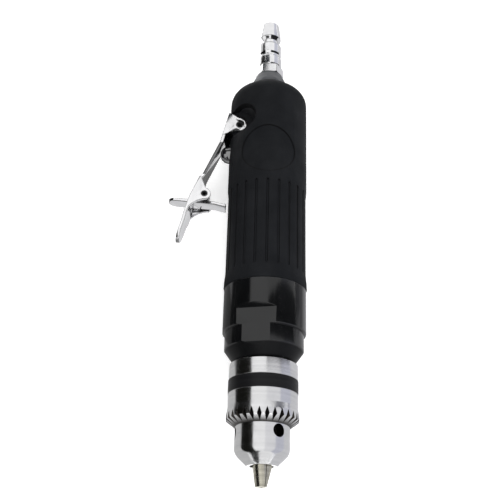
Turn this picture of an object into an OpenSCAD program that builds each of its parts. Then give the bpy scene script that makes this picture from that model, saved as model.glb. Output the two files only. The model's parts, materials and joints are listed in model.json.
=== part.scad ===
// Straight air drill with a lever throttle and a keyed chuck.
// The spindle's axis runs along Y. The chuck's mouth is at the origin, the air inlet at +Y,
// and the lever on the -X side. The pieces are drawn on the Z axis and laid down at the end.

/* [Chuck] */
// Length of jaw that stands out of the mouth when closed
jaw_reach = 9; // [7:0.5:10]
// Length of a jaw, along the tool
jaw_len = 33; // [31:0.5:34]
// Radius of the rod that a jaw is ground from
jaw_rod_r = 3.3; // [3.1:0.05:3.4]
// Lean of a jaw to the tool's axis, in degrees
jaw_lean = 14; // [13:0.5:14.5]
// Distance of a jaw's centre line from the axis at the mouth
jaw_line_r = 1.3; // [1.1:0.1:1.5]
// Travel of the jaws along the tool, closed to open
jaw_travel = 20; // [14:0.5:20]
// Radius of the mouth
mouth_r = 5.4; // [5.2:0.1:5.8]
// Radius of the front lip round the mouth
nose_lip_r = 7; // [6.4:0.1:7.6]
// Radius of the nose
nose_r = 12.6; // [12.3:0.1:12.7]
// Radius of the rounding on the nose
nose_round_r = 5; // [4:0.25:6]
// Length of the nose, mouth to key sleeve
nose_len = 17.5; // [17.2:0.1:18.5]
// Radius of a hole for the chuck key
key_hole_r = 3; // [2.5:0.1:3.2]
// Distance of the key holes from the mouth
key_hole_z = 14.2; // [12.5:0.1:14.2]
// Length of the key sleeve
sleeve_len = 21.3; // [20:0.1:23]
// Radius of the key sleeve
sleeve_r = 16.2; // [15.9:0.1:16.6]
// Radius of the toothed rim of the key sleeve
rim_r = 16.8; // [16.6:0.1:17.4]
// Number of teeth for the chuck key
key_teeth = 30; // [24:1:34]
// Length of the black band at the sleeve's rear
band_len = 6.5; // [4:0.5:9]
// Radius of the bright ring behind the sleeve
tail_r = 16.1; // [15.9:0.1:16.8]
// Length of the bright ring behind the sleeve
tail_len = 7.7; // [6.5:0.1:9]
// Radius of the thread that holds the chuck on the spindle
chuck_thread_r = 4.6; // [4.2:0.1:4.8]

/* [Gear housing] */
// Gap between the chuck and the housing
chuck_gap = 1; // [0.6:0.1:2]
// Radius of the housing's front face
gear_front_r = 14.6; // [13.5:0.1:15.5]
// Length of the tapered front
gear_taper_len = 5.5; // [4.5:0.1:7]
// Depth of the step from the housing to its front ring
ring_step = 1.1; // [0.9:0.1:1.6]
// Length of the front ring
gear_ring_len = 8.5; // [7:0.1:9.5]
// Depth of the step from the grip to the housing
case_step = 0.2; // [0.1:0.1:0.6]
// Length of the housing behind the ring
gear_body_len = 22.5; // [21.5:0.1:25]
// Depth of the wrench flats
flat_depth = 2.3; // [1.8:0.1:2.5]
// Length of the wrench flats
flat_len = 18.5; // [14:0.5:20]

/* [Grip] */
// Radius of the grip's smooth bands
grip_r = 20.2; // [19.9:0.1:20.8]
// Depth of the grip's waist
waist_depth = 0.45; // [0.25:0.05:0.6]
// Length of the grip up to its rear shoulder
grip_straight_len = 106.7; // [104:0.5:112]
// Radius of the grip's mouth round the inlet
grip_mouth_r = 10.9; // [10.8:0.1:11.4]
// Radius of the rounded rear shoulder
shoulder_r = 8; // [6:0.25:9]
// Number of finger grooves round the grip
groove_count = 22; // [16:2:26]
// Length of the finger grooves
groove_len = 45.7; // [38:0.5:47]
// Width of a finger groove
groove_w = 1.3; // [0.9:0.1:1.6]
// Radius of the round recess
recess_r = 13.3; // [10:0.1:14]

/* [Lever] */
// Distance of the lever's pin from the axis
pivot_x = 15.1; // [14.8:0.1:15.4]
// Distance of the lever's pin from the grip's front
pivot_from_grip = 90.8; // [89:0.1:93]
// Radius of the lever's pin
lever_pin_r = 1.85; // [1.5:0.05:2]
// Thickness of the lever's sheet
lever_sheet = 1.5; // [1.2:0.1:1.6]
// Half the width of the lug between the lever's cheeks
lug_half = 6.2; // [5.8:0.1:6.4]
// Width of the lever's neck
neck_w = 10; // [9:0.1:12]
// Width of the lever's finger end
finger_w = 12; // [11:0.1:14]
// Radius of the latch's pin
latch_pin_r = 1.6; // [1.3:0.05:1.7]
// Width of the latch plate
latch_w = 7; // [6:0.1:7.2]
// Thickness of the latch plate
latch_sheet = 1.5; // [1.2:0.1:1.7]
// Radius of the throttle button
button_r = 4.7; // [4.4:0.1:4.8]
// Travel of the throttle button
button_travel = 2.9; // [2:0.1:3]

/* [Inlet] */
// Size across the flats of the inlet bushing
bushing_flats = 18; // [16:0.1:18.2]
// Length of the bushing outside the grip
bushing_out = 8.5; // [7:0.1:11]
// Radius of the bushing's outer end
bushing_end_r = 6.9; // [6.7:0.1:8]
// Length of the air plug outside the bushing
plug_len = 34.5; // [31:0.5:38]
// Size across the flats of the air plug's hexagon
plug_flats = 13; // [12:0.1:13.2]
// Radius of the air plug's bore
plug_bore_r = 3.2; // [2.5:0.1:3.6]

/* [Gears] */
// Module of the gear teeth
tooth_module = 0.55; // [0.53:0.01:0.56]
// Length of the planet gears
planet_len = 8; // [7:0.1:8.5]

/* [Motor] */
// Wall of the grip round the motor housing
grip_wall = 3.3; // [3.2:0.05:3.5]
// Length of the cylinder liner
liner_len = 42; // [36:0.5:44]
// Radius of the rotor
rotor_r = 11.2; // [10.8:0.1:11.3]
// Distance of the liner's bore from the axis
liner_offset = 1.2; // [1:0.1:1.3]
// Number of vanes
vane_count = 5; // [4:1:6]

/* [Hidden] */
$fn = 64;

// Cuts run past the faces they cut by this much
overrun = 1;
// Gap of a sliding or turning fit, on the radius
run_gap = 0.05;
// Gap of a piece pressed or screwed in place, on the radius
seat_gap = 0.02;
// Gap between faces that pass each other
pass_gap = 0.3;
// Small bevel on turned edges
edge = 0.4;

// Radii that follow the grip
gear_body_r = grip_r - case_step;
gear_ring_r = gear_body_r - ring_step;
flat_distance = gear_body_r - flat_depth;
grip_waist_r = grip_r - waist_depth;
motor_r = grip_r - grip_wall;

// Stations along the tool, from the chuck's mouth
z_sleeve = nose_len;
z_sleeve_end = z_sleeve + sleeve_len;
z_chuck_end = z_sleeve_end + tail_len;
z_gear = z_chuck_end + chuck_gap;
z_ring = z_gear + gear_taper_len;
z_step = z_ring + gear_ring_len;
z_grip = z_step + gear_body_len;
z_shoulder = z_grip + grip_straight_len;
z_pivot = z_grip + pivot_from_grip;

// Chuck: key sleeve, nut and the groove they turn in
key_turn = -54.4;
jaw_turn = key_turn + 60;
rim_bevel_len = 2.8;
rim_front_r = 13;
rim_len = 5;
rim_flare_len = 3.5;
band_proud = 0.15;
nut_wall_r = 13.9;
nut_lip = 1.7;
nut_z = z_sleeve + nut_lip;
nut_len = 5;
neck_r = 8.6;
core_r = 14.8;
jaw_gap = 0.15;
jaw_land = 0.35;
jaw_bore_len = 30;
socket_len = 13.5;
key_hole_depth = 5.6;
tooth_gap_share = 0.65;
tooth_gap_depth = 3.2;
tooth_root_wall = 0.5;
tooth_root_z = nut_z - tooth_root_wall;
rod_s = 1 / cos(jaw_lean);
thread_pitch = 1.6;

// Bearings: bore radius, outer radius, width, ball radius, balls
big_bore_r = 6;
big_outer_r = 14;
big_w = 8;
big_ball_r = 2.38;
big_balls = 9;
small_bore_r = 4;
small_outer_r = 11;
small_w = 7;
small_ball_r = 1.95;
small_balls = 7;
ball_gap = 0.06;
ring_wall_share = 0.3;

// Gear housing: what its bore holds, front to rear
shaft_r = 8;
seal_r = 11;
seal_len = 3;
seal_z = z_gear + edge;
bearing_z = seal_z + seal_len + edge;
circlip_len = 1.2;
circlip_lip = 0.9;
circlip_gap = 5;
circlip_z = bearing_z + big_w + run_gap;
carrier_gap = 0.8;
carrier_z = circlip_z + circlip_len + carrier_gap;
carrier_len = 4;
carrier_r = 12;
carrier_lap = 2.5;
ring_gear_z = carrier_z + carrier_lap;
ring_gear_len = 14;
ring_seat_depth = 0.4;
ring_gear_r = motor_r - ring_seat_depth;
planet_z = carrier_z + carrier_len + pass_gap;
planet_pin_r = 2;
// Teeth of the rotor's pinion and of a planet: together a multiple of the three planets
sun_teeth = 12;
planet_teeth = 18;
ring_teeth = sun_teeth + 2 * planet_teeth;
// A planet with an even count turns a gap to the ring, so the ring's teeth are set half a tooth on
ring_turn = planet_teeth % 2 == 0 ? 180 / ring_teeth : 0;
planet_line_r = tooth_module * (sun_teeth + planet_teeth) / 2;
pressure_angle = 25;
backlash = 0.12;
addendum_share = 1;
dedendum_share = 1.25;
ring_tip_share = 0.9;
flat_turn = -103.6;
flat_slope_len = 2;

// Motor: plates, liner and rotor, front to rear
motor_z = ring_gear_z + ring_gear_len;
plate_web = 2;
plate_lip = 1;
front_plate_len = plate_lip + small_w + plate_web;
liner_z = motor_z + front_plate_len;
rear_plate_z = liner_z + liner_len;
rear_plate_len = plate_web + small_w;
motor_bore_end = rear_plate_z + rear_plate_len;
motor_wall = 1.9;
motor_bore_r = motor_r - motor_wall;
liner_wall = 2.2;
liner_bore_r = motor_bore_r - liner_wall;
rotor_end_gap = 0.2;
rotor_shaft_gap = 0.5;
front_bearing_z = motor_z + plate_lip;
rear_bearing_z = rear_plate_z + plate_web;
vane_w = 1.6;
vane_root_r = 6.5;
vane_tip_gap = 0.15;
dowel_r = 0.9;
dowel_edge = 0.6;
dowel_line_r = liner_bore_r + dowel_edge;
dowel_turn = 90;

// Grip: profile, grooves and recess
grip_bore_r = motor_r + seat_gap;
shoulder_turn = 50;
lip_proud = 0.15;
lip_r = grip_r + lip_proud;
lip_len = 1;
band_front_len = 4;
waist_blend = 4;
waist_margin = 9;
waist_end = groove_len + waist_margin;
groove_from_grip = 7;
groove_z = z_grip + groove_from_grip;
groove_depth = 0.55;
recess_from_grip = 70;
recess_z = z_grip + recess_from_grip;
recess_depth = 0.35;
shoulder_side = grip_r - shoulder_r + shoulder_r * cos(shoulder_turn);
shoulder_top = z_shoulder + shoulder_r * sin(shoulder_turn);
z_mouth = shoulder_top + (shoulder_side - grip_mouth_r) / tan(shoulder_turn);
shoulder_wall = 2;
inner_cone_z = z_shoulder - shoulder_wall;
inner_cone_end = z_mouth - shoulder_wall;

// Lever: distances forward of its pin (toward the chuck) and out from the tool's axis
cheek_gap = 0.1;
cheek_in = lug_half + cheek_gap;
cheek_out = cheek_in + lever_sheet;
spine_back = -7;
spine_back_u = 20.9;
spine_bend = 6.4;
spine_bend_u = 24.1;
spine_mid = 42.3;
spine_mid_u = 39;
spine_tip = 65;
spine_tip_u = 45.2;
ear_r = 4.4;
ear_shift = 0.7;
ear_front = 6.2;
pocket_r = 8.3;
lug_top_u = 18.6;
latch_v = 41.4;
latch_u = 31.7;
cheek_top = 31.5;
cheek_low = 57;
cheek_r = 3.3;
cove_r = 12.9;
slot_back = 31.6;
slot_front = 47.5;
slot_side = 0.5;
finger_start = 52;
taper_v = 3;
latch_in_u = 10.6;
latch_in_v = 4.3;
latch_out_u = 18.3;
latch_out_v = 1.1;
latch_eye_r = 2.7;
latch_mid_u = 5;
latch_mid_v = 2.9;
pin_hollow_share = 0.6;

// Throttle valve, along X at its own station
valve_v = 14;
z_valve = z_pivot - valve_v;
button_u = 20.2;
button_len = 6.5;
button_collar = 1.2;
stem_r = 1.6;
guide_u = 10;
guide_len = 2;
seat_x = 0;
seat_len = 2;
seat_r = 5.5;
seat_hole_r = 2.8;
poppet_r = 4.2;
poppet_len = 2.5;
poppet_seal_len = 0.6;
cap_x = 12;
cap_r = 6;
valve_chamber_r = 3.7;
spring_r = 3;
spring_wire_r = 0.3;
spring_curls = 4;
spring_z0 = seat_x + seat_len + run_gap + poppet_seal_len + poppet_len / 2;
spring_z1 = cap_x;
cap_len = sqrt(motor_r * motor_r - cap_r * cap_r) - cap_x - seat_gap;
cap_end = cap_x + cap_len;
inlet_x = 3.8;
inlet_hole_r = 3;
feed_x = 5;
feed_hole_r = 2.4;

// Inlet and exhaust
bushing_stem_r = 6.5;
bushing_past_pivot = 3.5;
bushing_stem_z = z_pivot + bushing_past_pivot;
bushing_bore_r = 4;
chamber_before = 2.6;
chamber_z = z_shoulder - chamber_before;
housing_inset = 4;
housing_end = z_mouth - housing_inset;
silencer_len = 5;
exhaust_r = 1.8;
exhaust_line_r = 8.9;
exhaust_turns = [75, 105, 255, 285];
plug_stem_r = 5;
plug_stem_len = 11;
z_bushing_end = z_mouth + bushing_out;
z_plug_end = z_bushing_end + plug_len;
plug_stem_z = z_bushing_end - plug_stem_len;
plug_hex_len = 5.2;
plug_hex_r = plug_flats / 2 / cos(30);
plug_r_shares = [0.8, 0.86, 0.86, 0.78, 0.78, 0.83, 0.83, 0.6, 0.6, 0.79, 0.79, 0.66];
plug_z_shares = [0, 0.03, 0.2, 0.24, 0.27, 0.31, 0.5, 0.55, 0.62, 0.68, 0.75, 1];
screen_wall = 0.5;
screen_len = 8;

// Latch spring on the latch's pin
latch_spring_r = 2.4;
latch_wire_r = 0.25;
latch_curls = 2;
latch_pitch = 0.95;
latch_leg = 4.5;
latch_spring_y = latch_w / 2 + pass_gap / 2 + latch_wire_r;

// Lays a piece drawn along Z down along Y
module tool_frame() {
    rotate([-90, 0, 0]) children();
}

// Solid of revolution about the tool's axis from [radius, station] points
module turned(points) {
    rotate_extrude() polygon(points);
}

module rod(r, z0, z1) {
    translate([0, 0, z0]) cylinder(r = r, h = z1 - z0);
}

module ring(r_in, r_out, z0, z1) {
    turned([[r_in, z0], [r_out, z0], [r_out, z1], [r_in, z1]]);
}

module rod_x(r, x0, x1, z) {
    translate([x0, 0, z]) rotate([0, 90, 0]) cylinder(r = r, h = x1 - x0);
}

module rod_y(r, x, y0, y1, z) {
    translate([x, y0, z]) rotate([-90, 0, 0]) cylinder(r = r, h = y1 - y0);
}

// Points of an arc round a centre, from one angle to another
function arc(cx, cy, r, a0, a1, steps = 8) =
    [for (i = [0:steps]) let (a = a0 + (a1 - a0) * i / steps) [cx + r * cos(a), cy + r * sin(a)]];

// Chuck

// Moves its children into the slanted hole of one jaw
module jaw_line(turn) {
    rotate([0, 0, turn]) translate([jaw_line_r, 0, 0]) rotate([0, jaw_lean, 0]) children();
}

module chuck_body() {
    tail_z = z_sleeve_end + run_gap;
    groove_end = nut_z + nut_len + run_gap;
    round_z = nose_r - nose_lip_r - nose_round_r * (1 - 2 * sin(45));
    nose = arc(nose_r - nose_round_r, round_z, nose_round_r, -45, 0);
    color("silver") tool_frame() difference() {
        turned(concat([[0, 0], [nose_lip_r, 0]], nose, [
            [nose_r, nut_z - run_gap], [neck_r, nut_z - run_gap],
            [neck_r, groove_end], [core_r, groove_end], [core_r, tail_z],
            [tail_r, tail_z], [tail_r, z_chuck_end - edge], [tail_r - edge, z_chuck_end],
            [0, z_chuck_end]]));
        rod(mouth_r, -overrun, jaw_bore_len);
        rod(chuck_thread_r + seat_gap, z_chuck_end - socket_len, z_chuck_end + overrun);
        for (i = [0:2]) {
            jaw_line(jaw_turn + 120 * i)
                rod(jaw_rod_r + run_gap, -overrun, (jaw_len - jaw_reach + jaw_travel) * rod_s + pass_gap);
            rotate([0, 0, key_turn + 120 * i])
                rod_x(key_hole_r, nose_r - key_hole_depth, nose_r + overrun, key_hole_z);
        }
    }
}

module chuck_sleeve() {
    front_r = nose_r + pass_gap / 2;
    nut_end = nut_z + nut_len;
    rim_z = z_sleeve + rim_bevel_len;
    flare_z = rim_z + rim_len - rim_bevel_len;
    band_z = z_sleeve_end - band_len;
    color("gainsboro") tool_frame() difference() {
        turned([[front_r, z_sleeve], [rim_front_r, z_sleeve], [rim_r, rim_z], [rim_r, flare_z],
            [sleeve_r, flare_z + rim_flare_len], [sleeve_r, band_z],
            [sleeve_r + band_proud, band_z], [sleeve_r + band_proud, z_sleeve_end - band_proud],
            [sleeve_r, z_sleeve_end], [core_r + pass_gap / 2, z_sleeve_end],
            [core_r + pass_gap / 2, nut_end], [nut_wall_r + seat_gap, nut_end],
            [nut_wall_r + seat_gap, nut_z], [front_r, nut_z]]);
        for (i = [0:key_teeth - 1]) rotate([0, 0, 360 / key_teeth * i]) key_tooth_gap();
    }
}

// One V gap between two teeth, cut along the slope of the rim's bevel
module key_tooth_gap() {
    root_r = nut_wall_r;
    run = rim_r - root_r;
    rise = z_sleeve + rim_bevel_len + tooth_gap_depth - tooth_root_z;
    slope = atan2(rise, run);
    translate([root_r, 0, tooth_root_z]) rotate([0, 90 - slope, 0])
        translate([0, 0, -rim_r]) linear_extrude(2 * rim_r)
            polygon([[0, 0], [rim_r, rim_r * tooth_gap_share], [rim_r, -rim_r * tooth_gap_share]]);
}

// Radius of the cone on which the outer sides of the jaws lie, with a gap for the thread
function nut_cone_r(z) = jaw_line_r + z * tan(jaw_lean) + (jaw_rod_r + pass_gap / 2) * rod_s;

module chuck_nut() {
    nut_end = nut_z + nut_len;
    color("dimgray") tool_frame() turned([[nut_cone_r(nut_z), nut_z], [nut_wall_r, nut_z],
        [nut_wall_r, nut_end], [nut_cone_r(nut_end), nut_end]]);
}

// A jaw fills its third of the mouth and ends in a ground tip
module chuck_jaw(index) {
    turn = jaw_turn + 120 * index;
    apex = jaw_gap / sin(60);
    reach = sleeve_r;
    color("lightgray") tool_frame() intersection() {
        jaw_line(turn) rod(jaw_rod_r, -2 * jaw_reach, (jaw_len - jaw_reach) * rod_s);
        rotate([0, 0, turn]) translate([apex, 0, -jaw_reach]) linear_extrude(2 * jaw_len)
            polygon([[jaw_land, jaw_land * tan(60)], [reach, reach * tan(60)],
                [reach, -reach * tan(60)], [jaw_land, -jaw_land * tan(60)]]);
    }
}

module chuck_jaw_1() {
    chuck_jaw(0);
}

module chuck_jaw_2() {
    chuck_jaw(1);
}

module chuck_jaw_3() {
    chuck_jaw(2);
}

// Bearings

// Path of the balls, cut into both rings
module ball_path(bore_r, outer_r, ball_r, z) {
    rotate_extrude() translate([(bore_r + outer_r) / 2, z]) circle(r = ball_r + ball_gap);
}

module bearing_outer(bore_r, outer_r, ball_r, w, z) {
    color("silver") tool_frame() difference() {
        ring(outer_r - ring_wall_share * (outer_r - bore_r), outer_r, z, z + w);
        ball_path(bore_r, outer_r, ball_r, z + w / 2);
    }
}

module bearing_inner(bore_r, outer_r, ball_r, w, z) {
    color("silver") tool_frame() difference() {
        ring(bore_r, bore_r + ring_wall_share * (outer_r - bore_r), z, z + w);
        ball_path(bore_r, outer_r, ball_r, z + w / 2);
    }
}

module bearing_balls(bore_r, outer_r, ball_r, count, w, z) {
    color("lightsteelblue") tool_frame() for (i = [0:count - 1])
        rotate([0, 0, 360 / count * i]) translate([(bore_r + outer_r) / 2, 0, z + w / 2]) sphere(r = ball_r);
}

module spindle_bearing_outer() {
    bearing_outer(big_bore_r, big_outer_r, big_ball_r, big_w, bearing_z);
}

module spindle_bearing_inner() {
    bearing_inner(big_bore_r, big_outer_r, big_ball_r, big_w, bearing_z);
}

module spindle_bearing_balls() {
    bearing_balls(big_bore_r, big_outer_r, big_ball_r, big_balls, big_w, bearing_z);
}

module front_bearing_outer() {
    bearing_outer(small_bore_r, small_outer_r, small_ball_r, small_w, front_bearing_z);
}

module front_bearing_inner() {
    bearing_inner(small_bore_r, small_outer_r, small_ball_r, small_w, front_bearing_z);
}

module front_bearing_balls() {
    bearing_balls(small_bore_r, small_outer_r, small_ball_r, small_balls, small_w, front_bearing_z);
}

module rear_bearing_outer() {
    bearing_outer(small_bore_r, small_outer_r, small_ball_r, small_w, rear_bearing_z);
}

module rear_bearing_inner() {
    bearing_inner(small_bore_r, small_outer_r, small_ball_r, small_w, rear_bearing_z);
}

module rear_bearing_balls() {
    bearing_balls(small_bore_r, small_outer_r, small_ball_r, small_balls, small_w, rear_bearing_z);
}

// Gears

// Involute of an angle, in degrees
function involute(a) = tan(a) * 180 / PI - a;

// Half the angle of a tooth at radius r, thinned by slack at the pitch circle
function half_tooth(r, teeth, slack) =
    let (pitch_r = tooth_module * teeth / 2)
    let (base_r = pitch_r * cos(pressure_angle))
    let (a = r <= base_r ? 0 : acos(base_r / r))
    90 / teeth - slack / (2 * pitch_r) * 180 / PI + involute(pressure_angle) - involute(a);

// Radii along a flank: the root, then even steps from the base circle to the tip
function flank_radii(teeth, root_r, tip_r, steps = 4) =
    let (base_r = tooth_module * teeth / 2 * cos(pressure_angle))
    let (start_r = max(root_r, base_r))
    concat(root_r < base_r ? [root_r] : [],
        [for (i = [0:steps]) start_r + (tip_r - start_r) * i / steps]);

function tooth_side(radii, teeth, slack, middle, side) =
    [for (r = radii) let (a = middle + side * half_tooth(r, teeth, slack)) [r * cos(a), r * sin(a)]];

function backward(list) = [for (i = [len(list) - 1:-1:0]) list[i]];

module gear_outline(teeth, root_r, tip_r, slack) {
    radii = flank_radii(teeth, root_r, tip_r);
    polygon([for (i = [0:teeth - 1]) let (middle = 360 / teeth * i)
        each concat(tooth_side(radii, teeth, slack, middle, -1),
            backward(tooth_side(radii, teeth, slack, middle, 1)))]);
}

module outer_gear(teeth, z0, z1) {
    pitch_r = tooth_module * teeth / 2;
    translate([0, 0, z0]) linear_extrude(z1 - z0)
        gear_outline(teeth, pitch_r - dedendum_share * tooth_module,
            pitch_r + addendum_share * tooth_module, backlash / 2);
}

module ring_gear() {
    pitch_r = tooth_module * ring_teeth / 2;
    color("slategray") tool_frame() difference() {
        rod(ring_gear_r - seat_gap, ring_gear_z, motor_z);
        translate([0, 0, ring_gear_z - overrun]) rotate([0, 0, ring_turn])
            linear_extrude(ring_gear_len + 2 * overrun)
                gear_outline(ring_teeth, pitch_r - ring_tip_share * tooth_module,
                    pitch_r + dedendum_share * tooth_module, -backlash / 2);
    }
}

// A planet gear, turned so that its teeth stand in mesh with the pinion and the ring
module planet_gear(index) {
    place = 120 * index;
    color("darkgray") tool_frame() rotate([0, 0, place]) translate([planet_line_r, 0, 0])
        rotate([0, 0, 180 + place * sun_teeth / planet_teeth + 180 / planet_teeth]) difference() {
            outer_gear(planet_teeth, planet_z, planet_z + planet_len);
            rod(planet_pin_r + run_gap, planet_z - overrun, planet_z + planet_len + overrun);
        }
}

module planet_gear_1() {
    planet_gear(0);
}

module planet_gear_2() {
    planet_gear(1);
}

module planet_gear_3() {
    planet_gear(2);
}

module planet_pins() {
    color("silver") tool_frame() for (i = [0:2]) rotate([0, 0, 120 * i]) translate([planet_line_r, 0, 0])
        rod(planet_pin_r, carrier_z, planet_z + planet_len + pass_gap);
}

// Spindle and planet carrier in one piece
module spindle() {
    bearing_end = bearing_z + big_w;
    nose_z = z_chuck_end - socket_len + pass_gap;
    color("gray") tool_frame() difference() {
        turned([[0, nose_z], [chuck_thread_r - edge, nose_z], [chuck_thread_r, nose_z + edge],
            [chuck_thread_r, z_chuck_end], [shaft_r, z_chuck_end], [shaft_r, bearing_z],
            [big_bore_r - seat_gap, bearing_z], [big_bore_r - seat_gap, bearing_end],
            [shaft_r, bearing_end], [shaft_r, carrier_z], [carrier_r, carrier_z],
            [carrier_r, carrier_z + carrier_len], [0, carrier_z + carrier_len]]);
        for (i = [0:2]) rotate([0, 0, 120 * i]) translate([planet_line_r, 0, 0])
            rod(planet_pin_r + seat_gap, carrier_z - overrun, carrier_z + carrier_len + overrun);
    }
}

// Gear housing

module gear_housing() {
    bore_end = circlip_z + circlip_len;
    color("black") tool_frame() difference() {
        turned([[shaft_r + pass_gap, z_gear], [gear_front_r, z_gear], [gear_ring_r - edge, z_ring],
            [gear_ring_r, z_ring + edge], [gear_ring_r, z_step], [gear_body_r - edge, z_step],
            [gear_body_r, z_step + edge], [gear_body_r, z_grip - edge], [gear_body_r - edge, z_grip],
            [ring_gear_r, z_grip], [ring_gear_r, ring_gear_z], [big_outer_r + seat_gap, ring_gear_z],
            [big_outer_r + seat_gap, bore_end], [big_outer_r + circlip_lip, bore_end],
            [big_outer_r + circlip_lip, circlip_z - run_gap], [big_outer_r + seat_gap, circlip_z - run_gap],
            [big_outer_r + seat_gap, bearing_z], [seal_r + seat_gap, bearing_z],
            [seal_r + seat_gap, seal_z], [shaft_r + pass_gap, seal_z]]);
        for (side = [0, 180]) rotate([0, 0, flat_turn + side]) wrench_flat();
    }
}

// Flat for an open wrench, with a sloping shoulder at its rear
module wrench_flat() {
    flat_end = z_ring + flat_len - flat_slope_len;
    out = gear_body_r + overrun;
    slope = flat_slope_len / (gear_body_r - flat_distance);
    rotate([90, 0, 0]) translate([0, 0, -gear_body_r]) linear_extrude(2 * gear_body_r)
        polygon([[flat_distance, z_gear], [out, z_gear],
            [out, flat_end + slope * (out - flat_distance)], [flat_distance, flat_end]]);
}

module spindle_seal() {
    color("black") tool_frame() turned([[shaft_r + run_gap, seal_z], [seal_r, seal_z],
        [seal_r, bearing_z - edge], [shaft_r + 2 * edge, bearing_z - edge],
        [shaft_r + run_gap, bearing_z - 2 * edge]]);
}

// Snap ring that keeps the spindle's bearing in its bore, open at one side
module bearing_circlip() {
    inner_r = big_outer_r - circlip_lip;
    color("dimgray") tool_frame() difference() {
        ring(inner_r, big_outer_r + circlip_lip - seat_gap, circlip_z, circlip_z + circlip_len - run_gap);
        translate([0, -circlip_gap / 2, circlip_z - overrun])
            cube([2 * big_outer_r, circlip_gap, circlip_len + 2 * overrun]);
    }
}

// Motor

// Tube with the motor's bore at its front and the valve, inlet and exhaust passages at its rear
module motor_housing() {
    cone_end_r = inner_cone_r(housing_end) - seat_gap;
    color("dimgray") tool_frame() difference() {
        turned([[0, motor_z], [ring_gear_r - seat_gap, motor_z], [ring_gear_r - seat_gap, z_grip],
            [motor_r, z_grip], [motor_r, inner_cone_z], [cone_end_r, housing_end], [0, housing_end]]);
        rod(motor_bore_r, motor_z - overrun, motor_bore_end);
        rod(bushing_stem_r + seat_gap, bushing_stem_z, housing_end + overrun);
        rod(grip_mouth_r, chamber_z, housing_end + overrun);
        for (turn = exhaust_turns) rotate([0, 0, turn]) translate([exhaust_line_r, 0, 0])
            rod(exhaust_r, motor_bore_end - overrun, chamber_z + overrun);
        translate([inlet_x, 0, 0]) rod(inlet_hole_r, z_valve, bushing_stem_z + overrun);
        translate([-feed_x, 0, 0]) rod(feed_hole_r, motor_bore_end - overrun, z_valve);
        valve_bore();
        lever_pocket();
        rod_y(lever_pin_r + seat_gap, -pivot_x, -grip_r, grip_r, z_pivot);
    }
}

// Radius of the cone under the grip's rear shoulder at station z
function inner_cone_r(z) = grip_bore_r
    - (grip_bore_r - grip_mouth_r) * (z - inner_cone_z) / (inner_cone_end - inner_cone_z);

// Stepped bore of the throttle valve, open on both sides of the housing
module valve_bore() {
    rod_x(button_r + run_gap, -grip_r - overrun, -guide_u, z_valve);
    rod_x(stem_r + run_gap, -guide_u - overrun, seat_x, z_valve);
    rod_x(valve_chamber_r, guide_len - guide_u, seat_x + overrun, z_valve);
    rod_x(seat_r + seat_gap, seat_x, cap_x, z_valve);
    rod_x(cap_r + seat_gap, cap_x, grip_r, z_valve);
}

// Room for the lever's cheeks on both sides of the lug
module lever_pocket() {
    rod_y(pocket_r, -pivot_x, lug_half, grip_r, z_pivot);
    rod_y(pocket_r, -pivot_x, -grip_r, -lug_half, z_pivot);
}

module dowel_hole(z0, z1) {
    rotate([0, 0, dowel_turn]) translate([dowel_line_r, 0, 0]) rod(dowel_r + seat_gap, z0, z1);
}

module front_end_plate() {
    web_z = front_bearing_z + small_w;
    plate_r = motor_bore_r - seat_gap;
    color("lightgray") tool_frame() difference() {
        turned([[small_bore_r + rotor_shaft_gap, web_z], [small_outer_r + seat_gap, web_z],
            [small_outer_r + seat_gap, motor_z], [plate_r, motor_z], [plate_r, liner_z],
            [small_bore_r + rotor_shaft_gap, liner_z]]);
        dowel_hole(liner_z - plate_web, liner_z + overrun);
    }
}

module rear_end_plate() {
    plate_r = motor_bore_r - seat_gap;
    color("lightgray") tool_frame() difference() {
        turned([[small_bore_r + rotor_shaft_gap, rear_plate_z], [plate_r, rear_plate_z],
            [plate_r, motor_bore_end], [small_outer_r + seat_gap, motor_bore_end],
            [small_outer_r + seat_gap, rear_bearing_z], [small_bore_r + rotor_shaft_gap, rear_bearing_z]]);
        dowel_hole(rear_plate_z - overrun, rear_plate_z + plate_web);
    }
}

// Liner with its bore set off from the axis, so the rotor nearly touches one side
module cylinder_liner() {
    color("silver") tool_frame() difference() {
        rod(motor_bore_r - seat_gap, liner_z, rear_plate_z);
        translate([0, -liner_offset, 0]) rod(liner_bore_r, liner_z - overrun, rear_plate_z + overrun);
        dowel_hole(liner_z - overrun, rear_plate_z + overrun);
    }
}

module liner_dowel() {
    color("gray") tool_frame() rotate([0, 0, dowel_turn]) translate([dowel_line_r, 0, 0])
        rod(dowel_r, liner_z - plate_web, rear_plate_z + plate_web);
}

// Slots or vanes of the rotor, spaced evenly, each w wide
module vane_boxes(w, root_r, tip_r, z0, z1) {
    for (i = [0:vane_count - 1]) rotate([0, 0, 360 / vane_count * i])
        translate([root_r, -w / 2, z0]) cube([tip_r - root_r, w, z1 - z0]);
}

module rotor() {
    core_z = liner_z + rotor_end_gap;
    core_end = rear_plate_z - rotor_end_gap;
    shaft_z = planet_z + planet_len + pass_gap;
    journal_r = small_bore_r - seat_gap;
    color("slategray") tool_frame() union() {
        difference() {
            turned([[0, shaft_z], [journal_r, shaft_z], [journal_r, core_z], [rotor_r, core_z],
                [rotor_r, core_end], [journal_r, core_end], [journal_r, motor_bore_end],
                [0, motor_bore_end]]);
            vane_boxes(vane_w + 2 * run_gap, vane_root_r - run_gap, rotor_r + overrun,
                core_z - overrun, core_end + overrun);
        }
        outer_gear(sun_teeth, planet_z, shaft_z + edge);
    }
}

module rotor_vanes() {
    tip_r = liner_bore_r - liner_offset - vane_tip_gap;
    color("saddlebrown") tool_frame()
        vane_boxes(vane_w, vane_root_r, tip_r, liner_z + rotor_end_gap, rear_plate_z - rotor_end_gap);
}

// Throttle valve

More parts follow.
